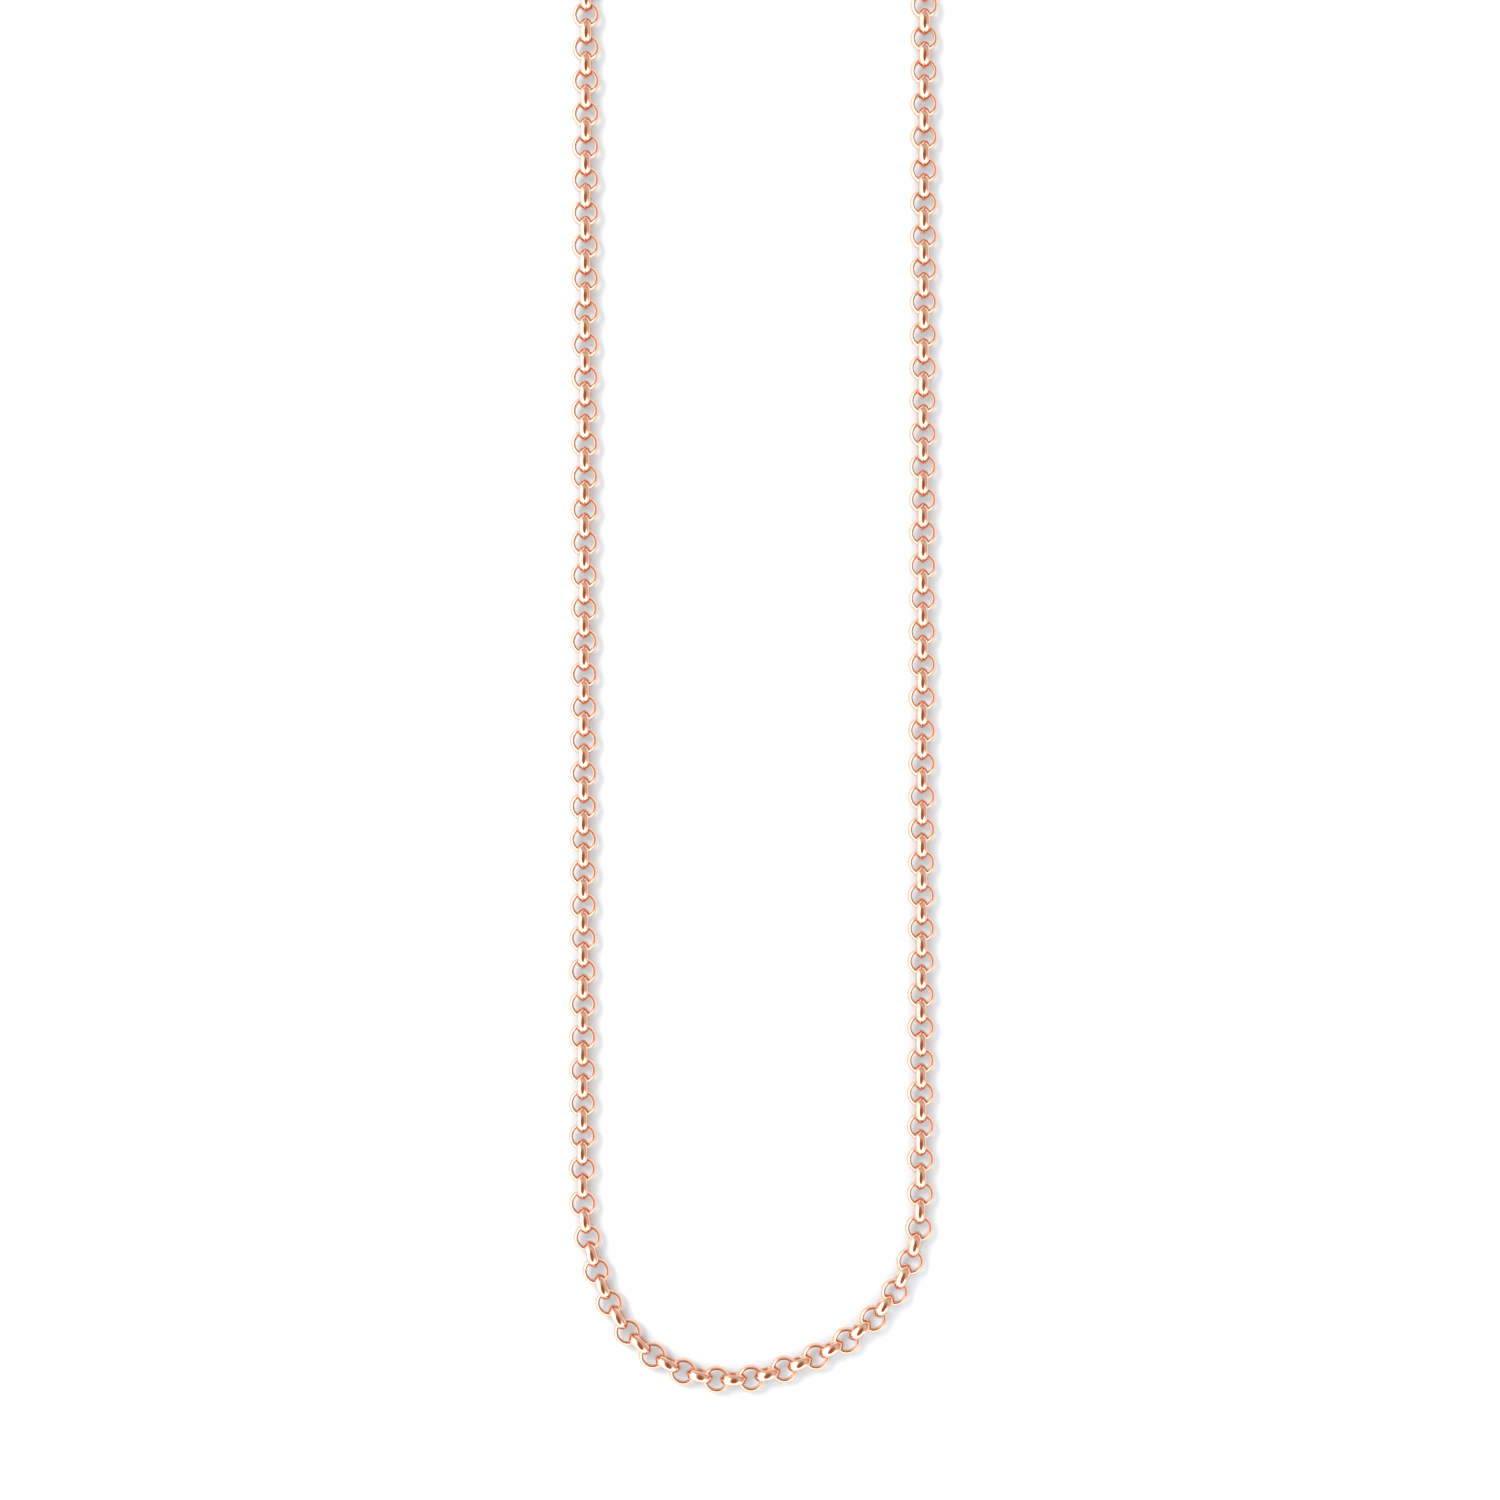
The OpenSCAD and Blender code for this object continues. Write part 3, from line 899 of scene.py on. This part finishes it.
def spring_shape():
    """Coil spring whose end turns lie close together."""
    sizes = bpy.context.scene.necklace.clasp
    start, end = node_turns("bolt_spring")
    wire = sizes.coil_wire
    coil = half_height("bolt_spring") - wire
    inset = wire / sizes.ring_radius
    wire_sides, steps_per_coil = 8, 20
    steps = sizes.coils * steps_per_coil
    closeness = 0.45        # how much of the coils' even spacing is taken away at the ends
    middles = []
    rows = []
    for share in between(0, 1, steps):
        eased = share - closeness * math.sin(FULL_TURN * share) / FULL_TURN
        out = level_way(start + inset + (end - start - 2 * inset) * eased)
        twist = FULL_TURN * sizes.coils * share
        from_coil = out * math.cos(twist) + UP * math.sin(twist)
        middle = CLASP_CENTRE + out * sizes.ring_radius + from_coil * coil
        middles.append(middle)
        rows.append(loop(middle, from_coil, UP.cross(out), [wire] * wire_sides, even(wire_sides)))
    return skin([[middles[0]] * wire_sides] + rows + [[middles[-1]] * wire_sides])[0]


class NECKLACE_OT_spring(bpy.types.Operator):
    """Make the bolt's spring and the plug behind it"""

    bl_idname = "necklace.spring"
    bl_label = "Spring and stop"

    def execute(self, context):
        clasp_piece("spring_stop_plug", stop_shape(), "spring_stop")
        clasp_piece("bolt_spring_coil", spring_shape(), "bolt_spring", "spring_steel")
        return {"FINISHED"}


def bolt_shape():
    """Curved rod with a round tip and a chamfered back end."""
    sizes = bpy.context.scene.necklace.clasp
    end = node_turns("sliding_bolt")[1]
    seat = math.radians(8)          # how far the shut bolt enters the tube past the mouth
    start = sizes.mouth_start - seat
    step = 0.03 * MM
    tip = sizes.bolt_radius - step
    chamfer = 0.07 * MM
    tip_steps, steps = 8, 44
    profile = [(start - tip * math.cos(rise) / sizes.ring_radius, tip * math.sin(rise))
               for rise in between(0, math.pi / 2, tip_steps)]
    shoulder = start + step / sizes.ring_radius
    profile += [(turn, sizes.bolt_radius)
                for turn in between(shoulder, end - chamfer / sizes.ring_radius, steps)]
    profile += [(end, sizes.bolt_radius - chamfer), (end, 0)]
    return clasp_rod(profile)


def knob_profile(root, neck, top, head):
    """The knob's radius, and how deeply its flutes are cut, at each place along the pin."""
    pin, pin_chamfer, fillet = 0.2 * MM, 0.04 * MM, 0.03 * MM
    rounding, dome = 0.12 * MM, 0.03 * MM
    crown_place, crown_radius = top - dome * 0.3, head * 0.4
    bends = between(0, math.pi / 2, 4)
    rows = [(root, 0, 0), (root, pin - pin_chamfer, 0), (root + pin_chamfer, pin, 0)]
    rows += [(neck - fillet, pin, 0), (neck, pin + fillet, 0)]
    rows += [(neck + rounding * (1 - math.cos(bend)), head - rounding * (1 - math.sin(bend)), math.sin(bend))
             for bend in bends]
    rows += [(top - dome - rounding * (1 - math.sin(bend)), head - rounding * (1 - math.cos(bend)),
              math.cos(bend)) for bend in bends]
    return rows + [(crown_place, crown_radius, 0), (top, 0, 0)]


def knob_shape():
    """Pin with a domed, fluted head."""
    sizes = bpy.context.scene.necklace.clasp
    out = level_way(sizes.mouth_start + sizes.mouth_turn + sizes.knob_turn)
    along_pin = (solids("thumb_knob")[0] - np.array(CLASP_CENTRE)) @ np.array(out)
    over_tube = 0.08 * MM
    neck = sizes.ring_radius + sizes.tube_radius + over_tube
    flute_depth, steps_per_flute = 0.035 * MM, 6
    angles = even(sizes.flutes * steps_per_flute)
    rows = []
    profile = knob_profile(along_pin.min(), neck, along_pin.max(), half_height("thumb_knob"))
    for place, radius, cut in profile:
        radii = [radius - cut * flute_depth * (1 - math.cos(angle * sizes.flutes)) / 2 for angle in angles]
        rows.append(loop(CLASP_CENTRE + out * place, UP.cross(out), UP, radii, angles))
    return skin(rows)[0]


class NECKLACE_OT_bolt(bpy.types.Operator):
    """Make the sliding bolt and its thumb knob"""

    bl_idname = "necklace.bolt"
    bl_label = "Bolt and knob"

    def execute(self, context):
        clasp_piece("sliding_bolt_rod", bolt_shape(), "sliding_bolt")
        clasp_piece("thumb_knob_pin", knob_shape(), "thumb_knob")
        return {"FINISHED"}


# Stage


def floor_material():
    """Plain white seamless paper."""
    made = bpy.data.materials.new("white_paper")
    made.use_nodes = True
    surface = made.node_tree.nodes["Principled BSDF"]
    surface.inputs["Base Color"].default_value = (0.855, 0.90, 0.93, 1)
    surface.inputs["Roughness"].default_value = 1
    surface.inputs["Specular IOR Level"].default_value = 0
    return made


def make_floor():
    """A wide pale floor under the necklace."""
    mesh = bpy.data.meshes.new("floor")
    half = 3.0
    clearance = 0.01 * MM
    level = CAD_LOW.z - clearance
    mesh.from_pydata([(-half, -half, level), (half, -half, level), (half, half, level),
                      (-half, half, level)], [], [(0, 1, 2, 3)])
    mesh.materials.append(floor_material())
    new_object("floor", mesh)


def along(tree, way, direction):
    """How far a way points along a fixed direction."""
    product = add_node(tree, "ShaderNodeVectorMath", operation="DOT_PRODUCT")
    tree.links.new(way, product.inputs[0])
    product.inputs[1].default_value = direction
    return product.outputs["Value"]


def stretched(tree, way, factors):
    """A way multiplied by fixed factors and brought back to a length of one."""
    product = add_node(tree, "ShaderNodeVectorMath", operation="MULTIPLY")
    tree.links.new(way, product.inputs[0])
    product.inputs[1].default_value = factors
    unit = add_node(tree, "ShaderNodeVectorMath", operation="NORMALIZE")
    tree.links.new(product.outputs[0], unit.inputs[0])
    return unit.outputs[0]


def ramp(tree, value, far, near, at_far, at_near):
    """Smooth step between two angles in degrees, where the value is the cosine of an angle."""
    step = feed(tree, add_node(tree, "ShaderNodeMapRange", interpolation_type="SMOOTHSTEP"), Value=value,
                From_Min=math.cos(math.radians(far)), From_Max=math.cos(math.radians(near)),
                To_Min=at_far, To_Max=at_near)
    return step.outputs["Result"]


def make_world(stage):
    """Light tent: even white for the floor, and for the metal bright panels low on the left and front."""
    world = bpy.data.worlds.new("light_tent")
    world.use_nodes = True
    bpy.context.scene.world = world
    tree = world.node_tree
    tree.nodes.clear()
    way = add_node(tree, "ShaderNodeTexCoord").outputs["Generated"]
    split = add_node(tree, "ShaderNodeSeparateXYZ")
    tree.links.new(way, split.inputs[0])

    # The dark camera and its arm are overhead, long from front to back, and the panels stand round them.
    arm_stretch = (1, 0.46, 1)
    arm_edge, arm_core = 46, 6
    panel_heading = math.radians(228)
    panel_strength = 2.7
    towards_camera = Vector((0.05, -0.2, 1)).normalized()
    from_camera = along(tree, stretched(tree, way, arm_stretch), towards_camera)
    overhead = ramp(tree, from_camera, arm_edge, arm_core, at_far=1.0, at_near=0.4)
    warm_share = ramp(tree, from_camera, arm_edge, arm_core, at_far=0.0, at_near=1.0)
    panel_ring = ramp(tree, from_camera, far=44, near=26, at_far=1.0, at_near=0.0)
    round_horizon = along(tree, stretched(tree, way, (1, 1, 0)), level_way(panel_heading))
    panel_side = ramp(tree, round_horizon, far=112, near=80, at_far=0.0, at_near=1.0)
    panels = maths(tree, "MULTIPLY", maths(tree, "MULTIPLY", panel_ring, panel_side), panel_strength)
    walls = ramp(tree, split.outputs["Z"], far=90, near=45, at_far=0.5, at_near=0.78)
    tent = maths(tree, "ADD", maths(tree, "MULTIPLY", walls, overhead), panels)

    ray = add_node(tree, "ShaderNodeLightPath").outputs
    seen = maths(tree, "ADD", ray["Is Camera Ray"],
                 maths(tree, "MULTIPLY", ray["Is Diffuse Ray"], stage.fill))
    mirrored = maths(tree, "MULTIPLY", ray["Is Glossy Ray"],
                     maths(tree, "LESS_THAN", ray["Diffuse Depth"], 1))
    strength = maths(tree, "ADD", seen, maths(tree, "MULTIPLY", tent, mirrored))
    white, copper = (1, 1, 1, 1), (1, 0.47, 0.27, 1)
    tint = add_node(tree, "ShaderNodeMix", data_type="RGBA")
    tree.links.new(maths(tree, "MULTIPLY", warm_share, mirrored), tint.inputs["Factor"])
    tint.inputs[MIX_A].default_value = white
    tint.inputs[MIX_B].default_value = copper
    light = feed(tree, add_node(tree, "ShaderNodeBackground"), Color=tint.outputs[MIX_RESULT],
                 Strength=strength)
    tree.links.new(light.outputs[0], add_node(tree, "ShaderNodeOutputWorld").inputs["Surface"])


def make_key(stage):
    """Soft light from the upper left, which casts the shadow but isn't mirrored in the metal."""
    way = Vector((-0.42, 0.32, 0.85)).normalized()
    distance = 1.0
    lamp = bpy.data.lights.new("key_light", "AREA")
    lamp.shape = "DISK"
    lamp.size = 0.4
    lamp.energy = stage.key
    key = bpy.data.objects.new("key_light", lamp)
    key.location = Vector(stage.view_centre) + way * distance
    key.rotation_mode = "QUATERNION"
    key.rotation_quaternion = way.to_track_quat("Z", "Y")
    key.visible_glossy = False
    bpy.context.scene.collection.objects.link(key)


def make_camera(stage):
    """Camera straight above the chain."""
    camera = bpy.data.cameras.new("camera")
    camera.lens = stage.lens
    height = stage.view_width * camera.lens / camera.sensor_width
    made = bpy.data.objects.new("camera", camera)
    made.location = Vector(stage.view_centre) + Vector((0, 0, height))
    made.rotation_euler = (0, 0, stage.view_roll)
    camera.clip_start = 0.01
    camera.clip_end = 20
    bpy.context.scene.collection.objects.link(made)
    bpy.context.scene.camera = made


class NECKLACE_OT_stage(bpy.types.Operator):
    """Make the floor, the light and the camera"""

    bl_idname = "necklace.stage"
    bl_label = "Stage"

    def execute(self, context):
        stage = context.scene.necklace.stage
        make_floor()
        make_world(stage)
        make_key(stage)
        make_camera(stage)
        context.scene.view_settings.view_transform = "Standard"
        return {"FINISHED"}


class NECKLACE_PT_panel(bpy.types.Panel):
    """Settings and steps of the necklace"""

    bl_label = "Necklace"
    bl_idname = "NECKLACE_PT_panel"
    bl_space_type = "VIEW_3D"
    bl_region_type = "UI"
    bl_category = "Necklace"

    def draw(self, context):
        settings = context.scene.necklace
        for group in (settings.chain, settings.clasp, settings.finish, settings.stage):
            box = self.layout.box()
            for name in group.__annotations__:
                box.prop(group, name)
        for step in STEPS:
            self.layout.operator(step.bl_idname)


STEPS = (NECKLACE_OT_stage, NECKLACE_OT_chain, NECKLACE_OT_rings, NECKLACE_OT_bolt_ring,
         NECKLACE_OT_spring, NECKLACE_OT_bolt)
CLASSES = (ChainSizes, ClaspSizes, FinishSettings, StageSettings, NecklaceSettings, *STEPS,
           NECKLACE_PT_panel)


def register():
    """Registers the classes and the scene's settings."""
    for part in CLASSES:
        bpy.utils.register_class(part)
    bpy.types.Scene.necklace = PointerProperty(type=NecklaceSettings)


def unregister():
    """Takes the settings and classes away again."""
    del bpy.types.Scene.necklace
    for part in reversed(CLASSES):
        bpy.utils.unregister_class(part)


def main():
    """Makes the necklace."""
    register()
    bpy.ops.necklace.stage()
    bpy.ops.necklace.chain()
    bpy.ops.necklace.rings()
    bpy.ops.necklace.bolt_ring()
    bpy.ops.necklace.spring()
    bpy.ops.necklace.bolt()


if __name__ == "__main__":
    main()
